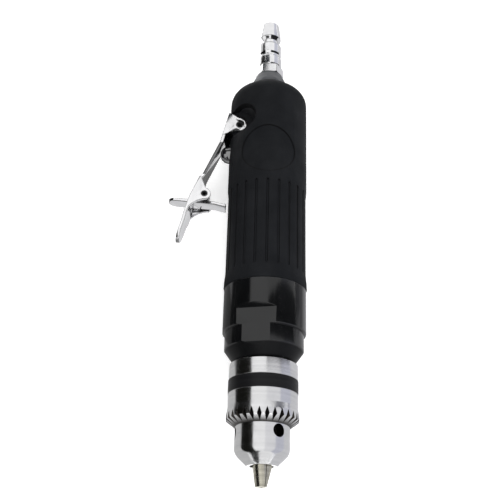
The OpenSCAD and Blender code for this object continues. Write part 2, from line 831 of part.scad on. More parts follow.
// Black dome under the lever, on a round skirt
module throttle_button() {
    skirt_x = button_len - button_u;
    color("black") tool_frame() translate([0, 0, z_valve]) rotate([0, 90, 0]) difference() {
        union() {
            translate([0, 0, -button_u]) sphere(r = button_r);
            rod(button_r, -button_u, skirt_x);
        }
        rod(stem_r + seat_gap, skirt_x - button_collar, skirt_x + overrun);
    }
}

module valve_stem() {
    head_x = seat_x + seat_len + poppet_seal_len + run_gap;
    color("goldenrod") tool_frame() translate([0, 0, z_valve]) rotate([0, 90, 0])
        turned([[0, button_len - button_u - button_collar], [stem_r, button_len - button_u - button_collar],
            [stem_r, head_x], [poppet_r, head_x], [poppet_r, head_x + poppet_len / 2],
            [stem_r, head_x + poppet_len / 2], [stem_r, head_x + poppet_len], [0, head_x + poppet_len]]);
}

module poppet_seal() {
    seal_x = seat_x + seat_len + run_gap;
    color("black") tool_frame() translate([0, 0, z_valve]) rotate([0, 90, 0])
        ring(stem_r + seat_gap, poppet_r, seal_x, seal_x + poppet_seal_len);
}

module valve_seat() {
    color("goldenrod") tool_frame() translate([0, 0, z_valve]) rotate([0, 90, 0])
        ring(seat_hole_r, seat_r, seat_x, seat_x + seat_len);
}

module valve_cap() {
    color("goldenrod") tool_frame() translate([0, 0, z_valve]) rotate([0, 90, 0])
        rod(cap_r, cap_x, cap_end);
}

// Springs

function unit(v) = v / norm(v);

// Direction of a path at one of its points
function heading(path, i) = unit(path[min(i + 1, len(path) - 1)] - path[max(i - 1, 0)]);

// One ring of six points round a path whose curls run round the Z axis
function wire_ring(path, i, r) =
    let (t = heading(path, i))
    let (side = unit(cross(t, [0, 0, 1])))
    let (up = cross(side, t))
    [for (k = [0:5]) path[i] + r * (side * cos(60 * k) + up * sin(60 * k))];

// One unbroken wire along a path
module wire(path, r) {
    rings = len(path);
    points = [for (i = [0:rings - 1]) each wire_ring(path, i, r)];
    last = 6 * (rings - 1);
    sides = [for (i = [0:rings - 2], k = [0:5]) let (a = 6 * i + k, b = 6 * i + (k + 1) % 6)
        each [[a, a + 6, b + 6], [a, b + 6, b]]];
    ends = [for (k = [1:4]) each [[0, k, k + 1], [last, last + k + 1, last + k]]];
    polyhedron(points, concat(sides, ends));
}

// Points of a helix round Z, eight to a curl
function helix(r, z0, pitch, curls, start) =
    [for (i = [0:8 * curls]) [r * cos(start + 45 * i), r * sin(start + 45 * i), z0 + pitch * i / 8]];

// Least gap between curls, measured on points at least half a curl apart
function self_gap(path, r) =
    min([for (i = [0:len(path) - 1], k = [i + 4:1:len(path) - 1]) norm(path[i] - path[k])]) - 2 * r;

valve_path = helix(spring_r, spring_z0 + spring_wire_r,
    (spring_z1 - spring_z0 - 2 * spring_wire_r) / spring_curls, spring_curls, 0);
latch_coil = helix(latch_spring_r, 0, latch_pitch, latch_curls, 180);
latch_path = concat([[-latch_spring_r, latch_leg, 0]], latch_coil,
    [[-latch_spring_r, -latch_leg, latch_pitch * latch_curls]]);
echo(valve_spring_gap = self_gap(valve_path, spring_wire_r));
echo(latch_spring_gap = self_gap(latch_coil, latch_wire_r));

module valve_spring() {
    color("silver") tool_frame() translate([0, 0, z_valve]) rotate([0, 90, 0])
        wire(valve_path, spring_wire_r);
}

// Torsion spring round the latch's pin, with one leg on the lever and one on the latch
module latch_spring() {
    color("silver") tool_frame() translate([-latch_u, latch_spring_y, z_pivot - latch_v])
        rotate([-90, 0, 0]) wire(latch_path, latch_wire_r);
}

// Grip

// Rubber sleeve over the motor housing, drawn in at its rear and open at the lever
module grip_sleeve() {
    waist_z = z_grip + band_front_len;
    waist_top = z_grip + waist_end;
    color([0.13, 0.13, 0.14]) tool_frame() difference() {
        turned(concat([[grip_bore_r, z_grip], [grip_r - edge, z_grip], [lip_r, z_grip + lip_len],
            [grip_r, waist_z], [grip_waist_r, waist_z + waist_blend],
            [grip_waist_r, waist_top - waist_blend], [grip_r, waist_top]],
            arc(grip_r - shoulder_r, z_shoulder, shoulder_r, 0, shoulder_turn),
            [[grip_mouth_r, z_mouth], [grip_mouth_r, inner_cone_end], [grip_bore_r, inner_cone_z]]));
        for (i = [0:groove_count - 1]) rotate([0, 0, 360 / groove_count * (i + 0.5)]) grip_groove();
        difference() {
            rod_y(recess_r, 0, -grip_r - overrun, grip_r + overrun, recess_z);
            rod(grip_r - recess_depth, recess_z - 2 * recess_r, recess_z + 2 * recess_r);
        }
        lever_pocket();
        lug_top();
        rod_x(button_r + pass_gap, -grip_r - overrun, 0, z_valve);
        rod_y(lever_pin_r + seat_gap, -pivot_x, -grip_r, grip_r, z_pivot);
    }
}

// One finger groove: a round cutter with pointed ends
module grip_groove() {
    half = groove_w / 2;
    translate([grip_waist_r + half - groove_depth, 0, groove_z])
        turned([[0, 0], [half, half], [half, groove_len - half], [0, groove_len]]);
}

// Flattens the lug under the lever's spine
module lug_top() {
    depth = 2 * (gear_body_r - lug_top_u);
    half = pocket_r - edge;
    translate([-lug_top_u - depth, -cheek_out - pass_gap, z_pivot - half])
        cube([depth, 2 * (cheek_out + pass_gap), 2 * half]);
}

module lever_pin() {
    color("dimgray") tool_frame() difference() {
        rod_y(lever_pin_r, -pivot_x, -cheek_out, cheek_out, z_pivot);
        rod_y(lever_pin_r * pin_hollow_share, -pivot_x, -grip_r, grip_r, z_pivot);
    }
}

// Lever

spine_line = [[spine_back, spine_back_u], [spine_bend, spine_bend_u],
    [spine_mid, spine_mid_u], [spine_tip, spine_tip_u]];

// Distance of the middle of the spine's sheet from the tool's axis
function spine_core(v) = lookup(v, spine_line) - lever_sheet / 2;

function left_of(d) = [-d[1], d[0]];

// Direction square to a line at one of its points, long enough to keep an even thickness
function mitre(line, i) =
    let (a = left_of(unit(line[max(i, 1)] - line[max(i, 1) - 1])))
    let (k = min(i, len(line) - 2))
    let (b = left_of(unit(line[k + 1] - line[k])))
    (a + b) / (1 + a * b);

// Line of even thickness t, on the right of the given line
function sheet_outline(line, t) = concat(line,
    backward([for (i = [0:len(line) - 1]) line[i] - t * mitre(line, i)]));

// Plate drawn in distances forward of the lever's pin and out from the axis
module side_plate(points, y0, y1) {
    translate([0, y1, z_pivot]) rotate([90, 0, 0]) linear_extrude(y1 - y0)
        polygon([for (p = points) [-p[1], -p[0]]]);
}

// Outline of the lever from outside, as half widths at distances forward of the pin
module lever_plan() {
    neck = neck_w / 2;
    finger = finger_w / 2;
    side = concat([[cheek_out, spine_back], [cheek_out, ear_front], [neck, ear_front + taper_v],
        [neck, cheek_top - taper_v], [cheek_out, cheek_top], [cheek_out, finger_start],
        [finger, finger_start + taper_v]],
        [for (a = [0:15:90]) [finger * cos(a), spine_tip - finger + finger * sin(a)]]);
    points = concat(side, backward([for (p = side) [-p[0], p[1]]]));
    translate([-2 * spine_tip_u, 0, z_pivot]) rotate([90, 0, 90]) linear_extrude(2 * spine_tip_u)
        polygon([for (p = points) [p[0], -p[1]]]);
}

module throttle_lever() {
    slot_half = latch_w / 2 + slot_side;
    cove_u = spine_core(cheek_low) - cove_r;
    ear = concat([[spine_back, spine_core(spine_back)]],
        arc(-ear_shift, pivot_x + ear_shift, ear_r, 170, 370, 12),
        [[ear_front, spine_core(ear_front)], [spine_bend, spine_core(spine_bend)]]);
    cheek = concat([[cheek_top, spine_core(cheek_top)]],
        arc(latch_v, latch_u, cheek_r, 190, 330), arc(cheek_low, cove_u, cove_r, 176, 90),
        [[spine_mid, spine_core(spine_mid)]]);
    color("whitesmoke") tool_frame() difference() {
        union() {
            intersection() {
                side_plate(sheet_outline(spine_line, lever_sheet), -cheek_out, cheek_out);
                lever_plan();
            }
            for (y = [-cheek_out, cheek_in]) {
                side_plate(ear, y, y + lever_sheet);
                side_plate(cheek, y, y + lever_sheet);
            }
        }
        rod_y(lever_pin_r + run_gap, -pivot_x, -grip_r, grip_r, z_pivot);
        rod_y(latch_pin_r + seat_gap, -latch_u, -grip_r, grip_r, z_pivot - latch_v);
        translate([-2 * spine_tip_u, -slot_half, z_pivot - slot_front])
            cube([2 * spine_tip_u - latch_u - latch_eye_r, 2 * slot_half, slot_front - slot_back]);
    }
}

module latch_pin() {
    color("dimgray") tool_frame() difference() {
        rod_y(latch_pin_r, -latch_u, -cheek_out, cheek_out, z_pivot - latch_v);
        rod_y(latch_pin_r * pin_hollow_share, -latch_u, -grip_r, grip_r, z_pivot - latch_v);
    }
}

// Plate with a thumb tab outside and a stop inside, curled round the latch's pin
module lock_latch() {
    half = latch_w / 2;
    line = [[latch_v + latch_in_v, latch_u - latch_in_u], [latch_v + latch_mid_v, latch_u - latch_mid_u],
        [latch_v + latch_out_v, latch_u + latch_out_u]];
    shifted = [for (p = line) p + [latch_sheet / 2, 0]];
    tab = [for (a = [90:15:270]) [half * cos(a) - latch_out_u + half, half * sin(a)]];
    color("whitesmoke") tool_frame() difference() {
        intersection() {
            union() {
                side_plate(sheet_outline(backward(shifted), latch_sheet), -half, half);
                rod_y(latch_eye_r, -latch_u, -half, half, z_pivot - latch_v);
            }
            translate([-latch_u, 0, z_pivot - 2 * latch_v]) linear_extrude(2 * latch_v)
                polygon(concat([[2 * latch_in_u, half]], tab, [[2 * latch_in_u, -half]]));
        }
        rod_y(latch_pin_r + run_gap, -latch_u, -grip_r, grip_r, z_pivot - latch_v);
    }
}

// Inlet and exhaust

module hexagon(flats, z0, z1) {
    translate([0, 0, z0]) cylinder(r = flats / 2 / cos(30), h = z1 - z0, $fn = 6);
}

module inlet_bushing() {
    corner_r = bushing_flats / 2 / cos(30);
    color("gray") tool_frame() difference() {
        union() {
            rod(bushing_stem_r, bushing_stem_z, housing_end);
            intersection() {
                hexagon(bushing_flats, housing_end, z_bushing_end);
                turned([[0, housing_end], [corner_r, housing_end], [corner_r, z_mouth + edge],
                    [bushing_end_r, z_bushing_end], [0, z_bushing_end]]);
            }
        }
        rod(bushing_bore_r, bushing_stem_z - overrun, z_bushing_end);
        rod(plug_stem_r + seat_gap, plug_stem_z - screen_wall, z_bushing_end + overrun);
    }
}

// Thimble of mesh held by its rim under the air plug's stem
module inlet_screen() {
    cup_r = bushing_bore_r - run_gap;
    rim_z = plug_stem_z - screen_wall;
    color("lightgray") tool_frame() turned([[0, rim_z - screen_len], [cup_r, rim_z - screen_len],
        [cup_r, rim_z], [plug_stem_r, rim_z], [plug_stem_r, plug_stem_z],
        [cup_r - screen_wall, plug_stem_z], [cup_r - screen_wall, rim_z - screen_len + screen_wall],
        [0, rim_z - screen_len + screen_wall]]);
}

// Plug for a quick coupling: hexagon, waist, collar, groove and tapered nose
module air_plug() {
    hex_end = z_bushing_end + plug_hex_len;
    shank_len = z_plug_end - hex_end;
    color("whitesmoke") tool_frame() difference() {
        union() {
            rod(plug_stem_r, plug_stem_z, z_bushing_end);
            intersection() {
                hexagon(plug_flats, z_bushing_end, hex_end);
                turned([[0, z_bushing_end], [plug_hex_r - edge, z_bushing_end],
                    [plug_hex_r, z_bushing_end + edge], [plug_hex_r, hex_end - edge],
                    [plug_hex_r - edge, hex_end], [0, hex_end]]);
            }
            turned(concat([[0, hex_end]], [for (i = [0:len(plug_r_shares) - 1])
                [plug_hex_r * plug_r_shares[i], hex_end + shank_len * plug_z_shares[i]]], [[0, z_plug_end]]));
        }
        rod(plug_bore_r, plug_stem_z - overrun, z_plug_end + overrun);
    }
}

module exhaust_silencer() {
    color("darkgray") tool_frame()
        ring(bushing_stem_r + run_gap, grip_mouth_r - run_gap, chamber_z, chamber_z + silencer_len);
}

grip_sleeve();
motor_housing();
gear_housing();
inlet_bushing();
inlet_screen();
air_plug();
exhaust_silencer();
front_end_plate();
rear_end_plate();
cylinder_liner();
liner_dowel();
ring_gear();
spindle_seal();
bearing_circlip();
spindle_bearing_outer();
spindle_bearing_balls();
spindle_bearing_inner();
front_bearing_outer();
front_bearing_balls();
front_bearing_inner();
rear_bearing_outer();
rear_bearing_balls();
rear_bearing_inner();
lever_pin();
valve_seat();
valve_cap();
valve_spring();
throttle_lever();
latch_pin();
lock_latch();
latch_spring();
throttle_button();
valve_stem();
poppet_seal();
rotor();
rotor_vanes();
spindle();
planet_pins();
planet_gear_1();
planet_gear_2();
planet_gear_3();
chuck_body();
chuck_sleeve();
chuck_nut();
chuck_jaw_1();
chuck_jaw_2();
chuck_jaw_3();
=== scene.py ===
import json
import math

import bmesh
import bpy
from mathutils import Matrix, Vector
from mathutils.bvhtree import BVHTree


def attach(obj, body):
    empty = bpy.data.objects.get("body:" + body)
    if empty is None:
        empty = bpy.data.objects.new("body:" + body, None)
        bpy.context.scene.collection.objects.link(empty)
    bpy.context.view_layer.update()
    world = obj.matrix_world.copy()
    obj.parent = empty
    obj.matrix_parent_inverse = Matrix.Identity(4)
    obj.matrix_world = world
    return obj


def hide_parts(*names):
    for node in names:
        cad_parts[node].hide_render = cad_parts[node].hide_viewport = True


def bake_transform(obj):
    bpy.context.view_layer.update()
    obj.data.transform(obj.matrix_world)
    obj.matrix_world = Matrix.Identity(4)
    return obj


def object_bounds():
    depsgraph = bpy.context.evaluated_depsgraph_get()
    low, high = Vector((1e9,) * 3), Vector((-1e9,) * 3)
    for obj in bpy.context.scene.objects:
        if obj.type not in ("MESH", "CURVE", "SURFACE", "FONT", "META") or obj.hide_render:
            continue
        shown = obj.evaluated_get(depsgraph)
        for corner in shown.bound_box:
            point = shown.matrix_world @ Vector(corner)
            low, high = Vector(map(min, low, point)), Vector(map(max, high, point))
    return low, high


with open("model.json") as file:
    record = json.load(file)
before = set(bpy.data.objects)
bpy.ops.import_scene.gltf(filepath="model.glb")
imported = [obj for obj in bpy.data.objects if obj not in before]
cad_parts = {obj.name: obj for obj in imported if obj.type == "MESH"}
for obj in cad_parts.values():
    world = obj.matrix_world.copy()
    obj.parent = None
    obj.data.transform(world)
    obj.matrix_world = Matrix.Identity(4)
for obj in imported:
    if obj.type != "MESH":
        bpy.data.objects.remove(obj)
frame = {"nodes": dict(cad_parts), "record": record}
cad_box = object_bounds()
nodes = frame["nodes"]
scene = bpy.context.scene
scene.view_settings.view_transform = "Standard"

MM = 0.001
# stations run along the tool axis, from the chuck's mouth
# the black band on the key sleeve: where it starts, the radius it lies outside of, and how soft its edge is
BAND_START, BAND_RADIUS, BAND_EDGE = 32.3 * MM, 16.27 * MM, 0.02 * MM
# the bevelled end of the key sleeve: where it ends, and the radii of the roots and tips of its teeth
BEVEL_END, TOOTH_ROOT, TOOTH_TIP = 20.3 * MM, 13.4 * MM, 16.2 * MM
# where the satin front of the gear housing ends, and how soft that line is
SATIN_END, SATIN_EDGE = 53.0 * MM, 0.2 * MM
# the round recess in the grip: its station and radius
GRIP_RECESS = (154.0 * MM, 13.3 * MM)
# colours of the painted shade in recesses, in holes and at the roots of the key teeth
RECESS_SHADE_COLOUR = (0.0012, 0.0012, 0.0013)
HOLLOW_SHADE_COLOUR = (0.022, 0.018, 0.014)


# Shader helpers

def link_in(tree, target, value):
    """Sets an input, or links it where the value is another node's output."""
    if isinstance(value, bpy.types.NodeSocket):
        tree.links.new(value, target)
    else:
        target.default_value = value


def feed(tree, node, **inputs):
    """Sets or links a node's inputs by name, with spaces written as underscores."""
    for name, value in inputs.items():
        link_in(tree, node.inputs[name.replace("_", " ")], value)


def add_node(tree, kind, **inputs):
    """A new node with its inputs set or linked by name."""
    made = tree.nodes.new(kind)
    feed(tree, made, **inputs)
    return made


def maths(tree, operation, a, b=0.0, clamp=False):
    """One step of arithmetic."""
    made = tree.nodes.new("ShaderNodeMath")
    made.operation = operation
    made.use_clamp = clamp
    link_in(tree, made.inputs[0], a)
    link_in(tree, made.inputs[1], b)
    return made.outputs[0]


def scaled(tree, value, share):
    """A share of a value."""
    return maths(tree, "MULTIPLY", value, share)


def plus(tree, value, extra, share, clamp=False):
    """A value with a share of another one added."""
    return maths(tree, "ADD", value, scaled(tree, extra, share), clamp)


def seen_plainly(tree):
    """One for what the camera, a mirror or glass sees, and nothing for the light that a surface gives."""
    path = tree.nodes.new("ShaderNodeLightPath").outputs
    bounced = maths(tree, "MAXIMUM", path["Is Glossy Ray"], path["Is Transmission Ray"])
    return maths(tree, "MAXIMUM", path["Is Camera Ray"], bounced)


def span(tree, value, low, high, to_low=0.0, to_high=1.0):
    """Maps a value from one span to another, held at both ends."""
    made = tree.nodes.new("ShaderNodeMapRange")
    for i, number in enumerate((value, low, high, to_low, to_high)):
        link_in(tree, made.inputs[i], number)
    return made.outputs[0]


def mixed(tree, share, a, b):
    """One colour turning into another; each is a node's output, or red, green and blue."""
    made = tree.nodes.new("ShaderNodeMix")
    made.data_type = "RGBA"
    link_in(tree, made.inputs["Factor"], share)
    for i, colour in ((6, a), (7, b)):
        link_in(tree, made.inputs[i], (*colour, 1) if isinstance(colour, tuple) else colour)
    return made.outputs[2]


def noise_of(tree, vector, scale, detail=2.0, rough=0.5, warp=0.0):
    """The value of a noise pattern."""
    made = add_node(tree, "ShaderNodeTexNoise", Vector=vector, Scale=scale, Detail=detail, Roughness=rough,
                    Distortion=warp)
    return made.outputs["Fac"]


def object_place(tree):
    """The place of a point in the piece's own frame."""
    return tree.nodes.new("ShaderNodeTexCoord").outputs["Object"]


def split_place(tree):
    """The same place as three numbers, X, Y and Z."""
    return add_node(tree, "ShaderNodeSeparateXYZ", Vector=object_place(tree)).outputs


def length_of(tree, **parts):
    """The length of a vector, from its parts."""
    made = tree.nodes.new("ShaderNodeVectorMath")
    made.operation = "LENGTH"
    tree.links.new(add_node(tree, "ShaderNodeCombineXYZ", **parts).outputs[0], made.inputs[0])
    return made.outputs["Value"]


def marked(tree, name):
    """A mark on the faces of the piece."""
    made = tree.nodes.new("ShaderNodeAttribute")
    made.attribute_name = name
    return made.outputs["Fac"]


def new_group(name, inputs, outputs):
    """An empty shader group with named number inputs and outputs."""
    tree = bpy.data.node_groups.new(name, "ShaderNodeTree")
    for label, start in inputs:
        socket = tree.interface.new_socket(label, in_out="INPUT", socket_type="NodeSocketFloat")
        socket.default_value = start
    for label in outputs:
        tree.interface.new_socket(label, in_out="OUTPUT", socket_type="NodeSocketFloat")
    return tree, tree.nodes.new("NodeGroupInput").outputs, tree.nodes.new("NodeGroupOutput").inputs


# Shared surface effects

def make_moulded_grain():
    """Fine pebbled skin of a moulded rubber or plastic surface."""
    tree, given, out = new_group(
        "moulded_grain", [("Pebble Scale", 2600.0), ("Patch Scale", 90.0)], ["Height", "Patches"])
    place = object_place(tree)
    cells = tree.nodes.new("ShaderNodeTexVoronoi")
    cells.feature = "SMOOTH_F1"
    feed(tree, cells, Vector=place, Scale=given["Pebble Scale"])
    fine = noise_of(tree, place, scaled(tree, given["Pebble Scale"], 0.45), 4.0)
    pits = scaled(tree, cells.outputs["Distance"], 0.6)
    patches = noise_of(tree, place, given["Patch Scale"], 5.0)
    tree.links.new(maths(tree, "SUBTRACT", fine, pits), out["Height"])
    tree.links.new(span(tree, patches, 0.3, 0.7), out["Patches"])
    return tree


def make_turning_marks():
    """Fine rings that a lathe tool leaves round the tool axis."""
    tree, given, out = new_group(
        "turning_marks", [("Rings", 5200.0), ("Waver", 40.0)], ["Height", "Streaks"])
    parts = split_place(tree)
    away = length_of(tree, X=parts["X"], Z=parts["Z"])
    rings = add_node(tree, "ShaderNodeCombineXYZ", X=scaled(tree, parts["Y"], given["Rings"]),
                     Y=scaled(tree, away, given["Rings"]), Z=scaled(tree, parts["X"], given["Waver"]))
    along = rings.outputs[0]
    broad = tree.nodes.new("ShaderNodeVectorMath")
    broad.operation = "SCALE"
    link_in(tree, broad.inputs[0], along)
    link_in(tree, broad.inputs["Scale"], 0.16)
    streaks = noise_of(tree, broad.outputs[0], 1.0)
    tree.links.new(noise_of(tree, along, 1.0, 3.0, 0.6), out["Height"])
    tree.links.new(span(tree, streaks, 0.32, 0.68), out["Streaks"])
    return tree


def make_handling_marks():
    """Smears of oil and finger marks, and fine scratches in two directions."""
    tree, given, out = new_group(
        "handling_marks", [("Smear Scale", 120.0), ("Scratch Scale", 700.0)], ["Smears", "Scratches"])
    place = object_place(tree)
    smears = noise_of(tree, place, given["Smear Scale"], 6.0, warp=0.6)
    fine = scaled(tree, given["Scratch Scale"], 4.0)
    lines = []
    for turn in ((0.3, 0.2, 0.9), (1.2, 0.7, -0.4)):
        drawn = add_node(tree, "ShaderNodeMapping", Vector=place, Rotation=turn, Scale=(1.0, 0.045, 0.2))
        lines.append(span(tree, noise_of(tree, drawn.outputs[0], fine), 0.66, 0.74))
    tree.links.new(span(tree, smears, 0.35, 0.7), out["Smears"])
    tree.links.new(maths(tree, "MAXIMUM", *lines), out["Scratches"])
    return tree


def make_edge_rub():
    """Where corners are rubbed: the piece's own corner mark, broken up by noise."""
    tree, given, out = new_group("edge_rub", [("Break Scale", 900.0), ("Reach", 0.5)], ["Rub"])
    broken = noise_of(tree, object_place(tree), given["Break Scale"], 4.0)
    part = maths(tree, "ADD", maths(tree, "SUBTRACT", broken, 1.0), given["Reach"])
    share = maths(tree, "MULTIPLY", part, 4.0, clamp=True)
    tree.links.new(maths(tree, "MULTIPLY", marked(tree, "corner"), share, clamp=True), out["Rub"])
    return tree


MOULDED_GRAIN = make_moulded_grain()
TURNING_MARKS = make_turning_marks()
HANDLING_MARKS = make_handling_marks()
EDGE_RUB = make_edge_rub()


def placed(tree, group, **inputs):
    """The outputs of a shared effect, placed with its own values."""
    made = tree.nodes.new("ShaderNodeGroup")
    made.node_tree = group
    feed(tree, made, **inputs)
    return made.outputs


# Finishes

# cosines of the turn of a softened normal: where a corner starts to count, and where it counts in full
CORNER_STARTS, CORNER_FULL = 0.985, 0.87


def near_corner(tree, radius):
    """One beside a corner of the piece, within the radius, and nothing on its open faces."""
    softened = add_node(tree, "ShaderNodeBevel", Radius=radius)
    softened.samples = 6
    plain = tree.nodes.new("ShaderNodeNewGeometry")
    turn = tree.nodes.new("ShaderNodeVectorMath")
    turn.operation = "DOT_PRODUCT"
    tree.links.new(softened.outputs["Normal"], turn.inputs[0])
    tree.links.new(plain.outputs["Normal"], turn.inputs[1])
    return span(tree, turn.outputs["Value"], CORNER_STARTS, CORNER_FULL)


def blank(name):
    """A new material, its node tree and its shader."""
    made = bpy.data.materials.new(name)
    made.use_nodes = True
    tree = made.node_tree
    return made, tree, tree.nodes["Principled BSDF"]


def raised(tree, shader, height, strength, distance):
    """A bump from a height, on the shader's normal."""
    bump = add_node(tree, "ShaderNodeBump", Height=height, Strength=strength, Distance=distance)
    tree.links.new(bump.outputs[0], shader.inputs["Normal"])


def moulded(name, dark, pale, rough, pebble=2600.0, depth=0.06 * MM, strength=0.5, specular=0.35, ring=None):
    """Rubber, resin, felt or plastic with a pebbled skin, rubbed corners, and painted shade in the faces
    marked as recesses.

    A ring is the station and radius of a round recess, round whose rim a thin dark line of painted shade is
    drawn.
    """
    made, tree, shader = blank(name)
    grain = placed(tree, MOULDED_GRAIN, Pebble_Scale=pebble)
    rub = placed(tree, EDGE_RUB, Reach=0.42)
    worn = plus(tree, scaled(tree, grain["Patches"], 0.45), rub["Rub"], 0.5, clamp=True)
    # painted shade: the faces marked as recesses, and a thin line round the ring, turn near black
    recess_shade = scaled(tree, marked(tree, "recess"), 0.8)
    if ring:
        station, radius = ring
        parts = split_place(tree)
        away = length_of(tree, X=parts["X"], Y=maths(tree, "SUBTRACT", parts["Y"], station))
        off = maths(tree, "ABSOLUTE", maths(tree, "SUBTRACT", away, radius))
        recess_shade = maths(tree, "MAXIMUM", recess_shade, span(tree, off, 0.15 * MM, 0.45 * MM, 0.75, 0.0))
    skin = mixed(tree, worn, dark, pale)
    feed(tree, shader, Base_Color=mixed(tree, recess_shade, skin, RECESS_SHADE_COLOUR), Specular_IOR_Level=specular,
         Roughness=span(tree, grain["Patches"], 0.0, 1.0, rough + 0.06, rough - 0.05))
    raised(tree, shader, grain["Height"], strength, depth)
    return made


def gloss_paint(name, dark, pale, rough, specular=0.3, satin_end=None, coat=0.0, coat_index=1.5):
    """Gloss black over turned metal: orange peel, smears and corners rubbed to a paler tone.

    What lies in front of satin_end, along the tool, is duller.
    """
    made, tree, shader = blank(name)
    marks = placed(tree, HANDLING_MARKS, Smear_Scale=80.0, Scratch_Scale=500.0)
    rub = placed(tree, EDGE_RUB, Reach=0.5)
    peel = placed(tree, MOULDED_GRAIN, Pebble_Scale=620.0, Patch_Scale=60.0)
    tone = plus(tree, scaled(tree, marks["Smears"], 0.12), rub["Rub"], 0.75, clamp=True)
    finish = plus(tree, span(tree, marks["Smears"], 0.0, 1.0, rough, rough + 0.04), marks["Scratches"], 0.05)
    feed(tree, shader, Base_Color=mixed(tree, tone, dark, pale), Specular_IOR_Level=specular,
         Coat_Weight=coat, Coat_Roughness=0.06, Coat_IOR=coat_index)
    if satin_end:
        front = span(tree, split_place(tree)["Y"], satin_end + SATIN_EDGE, satin_end - SATIN_EDGE)
        finish = plus(tree, finish, front, 0.24)
        feed(tree, shader, Specular_IOR_Level=span(tree, front, 0.0, 1.0, specular, specular * 0.22))
    feed(tree, shader, Roughness=finish)
    raised(tree, shader, peel["Height"], 0.05, 0.03 * MM)
    return made


def plated(name, dark, pale, rough, edge_shade=None):
    """Bright plating with smears, hair scratches and corners rubbed thin.

    Where an edge_shade colour is given, all the corners have it as a painted dark reflection, and not only
    the rubbed ones.
    """
    made, tree, shader = blank(name)
    marks = placed(tree, HANDLING_MARKS, Smear_Scale=150.0, Scratch_Scale=520.0)
    rub = placed(tree, EDGE_RUB, Reach=0.85)
    skin = mixed(tree, scaled(tree, marks["Smears"], 0.35), pale, dark)
    corner_wear_and_shade = edge_shade or tuple(c * 0.6 for c in dark)
    share = scaled(tree, rub["Rub"], 0.9)
    # painted dark reflection on every corner, within the radius
    if edge_shade:
        share = maths(tree, "MAXIMUM", share, scaled(tree, near_corner(tree, 0.75 * MM), 0.88))
    finish = plus(tree, span(tree, marks["Smears"], 0.0, 1.0, rough, rough + 0.08), marks["Scratches"], 0.1)
    feed(tree, shader, Base_Color=mixed(tree, share, skin, corner_wear_and_shade), Roughness=finish, Metallic=1.0)
    raised(tree, shader, marks["Scratches"], 0.05, 0.02 * MM)
    return made


def turned(name, dark, pale, rough, rings=5200.0, metal=1.0):
    """Steel, brass or aluminium with the rings of turning, smears and bright corners."""
    made, tree, shader = blank(name)
    lathe = placed(tree, TURNING_MARKS, Rings=rings)
    marks = placed(tree, HANDLING_MARKS, Smear_Scale=110.0, Scratch_Scale=620.0)
    rub = placed(tree, EDGE_RUB, Reach=0.5)
    tone = plus(tree, scaled(tree, lathe["Streaks"], 0.5), marks["Smears"], 0.4, clamp=True)
    bright = tuple(min(1.0, c * 1.12) for c in pale)
    streaked = span(tree, lathe["Streaks"], 0.0, 1.0, rough - 0.03, rough + 0.05)
    feed(tree, shader, Base_Color=mixed(tree, rub["Rub"], mixed(tree, tone, pale, dark), bright),
         Roughness=plus(tree, streaked, marks["Smears"], 0.06), Metallic=metal)
    raised(tree, shader, lathe["Height"], 0.35, 0.012 * MM)
    return made


def chuck_finish(name, banded):
    """Bright satin steel, with painted shade in its holes.

    The key sleeve is banded: it also has painted shade at the roots of its teeth, and a black band.
    """
    made, tree, shader = blank(name)
    lathe = placed(tree, TURNING_MARKS, Rings=4300.0)
    marks = placed(tree, HANDLING_MARKS, Smear_Scale=110.0, Scratch_Scale=600.0)
    rub = placed(tree, EDGE_RUB, Reach=0.55)
    tone = plus(tree, scaled(tree, lathe["Streaks"], 0.5), marks["Smears"], 0.35, clamp=True)
    steel = mixed(tree, tone, (0.74, 0.74, 0.745), (0.63, 0.63, 0.64))
    steel = mixed(tree, scaled(tree, rub["Rub"], 0.5), steel, (0.78, 0.77, 0.75))
    # painted shade: faces marked as recesses, such as hole walls and floors and the flanks of the key teeth,
    # turn dark brown
    hollow_shade = maths(tree, "MULTIPLY", marked(tree, "recess"), span(tree, marks["Smears"], 0.0, 1.0, 1.0, 0.9))
    parts = split_place(tree)
    along, away = parts["Y"], length_of(tree, X=parts["X"], Z=parts["Z"])
    if banded:
        # painted shade deepening towards the roots of the key teeth, on the bevelled end
        roots = maths(tree, "MULTIPLY", span(tree, away, TOOTH_ROOT, TOOTH_TIP, 0.9, 0.0),
                      span(tree, along, BEVEL_END, BEVEL_END + 0.2 * MM, 1.0, 0.0))
        hollow_shade = maths(tree, "MAXIMUM", hollow_shade, roots)
    colour = mixed(tree, hollow_shade, steel, HOLLOW_SHADE_COLOUR)
    satin = plus(tree, span(tree, lathe["Streaks"], 0.0, 1.0, 0.12, 0.18), marks["Smears"], 0.05)
    satin = plus(tree, satin, hollow_shade, 0.2)
    feed(tree, shader, Metallic=1.0)
    if banded:
        band = maths(tree, "MULTIPLY", span(tree, along, BAND_START - BAND_EDGE, BAND_START + BAND_EDGE),
                     span(tree, away, BAND_RADIUS - BAND_EDGE, BAND_RADIUS + BAND_EDGE))
        feed(tree, shader, Specular_IOR_Level=span(tree, band, 0.0, 1.0, 0.5, 0.14))
        band = maths(tree, "MULTIPLY", band, maths(tree, "SUBTRACT", 1.0, scaled(tree, rub["Rub"], 0.6)))
        blacked = mixed(tree, scaled(tree, lathe["Streaks"], 0.4),
                        (0.006, 0.006, 0.007), (0.013, 0.013, 0.014))
        colour = mixed(tree, band, colour, blacked)
        satin = plus(tree, satin, band, 0.22)
        feed(tree, shader, Metallic=maths(tree, "SUBTRACT", 1.0, band))
    feed(tree, shader, Base_Color=colour, Roughness=satin)
    raised(tree, shader, lathe["Height"], 0.3, 0.012 * MM)
    return made


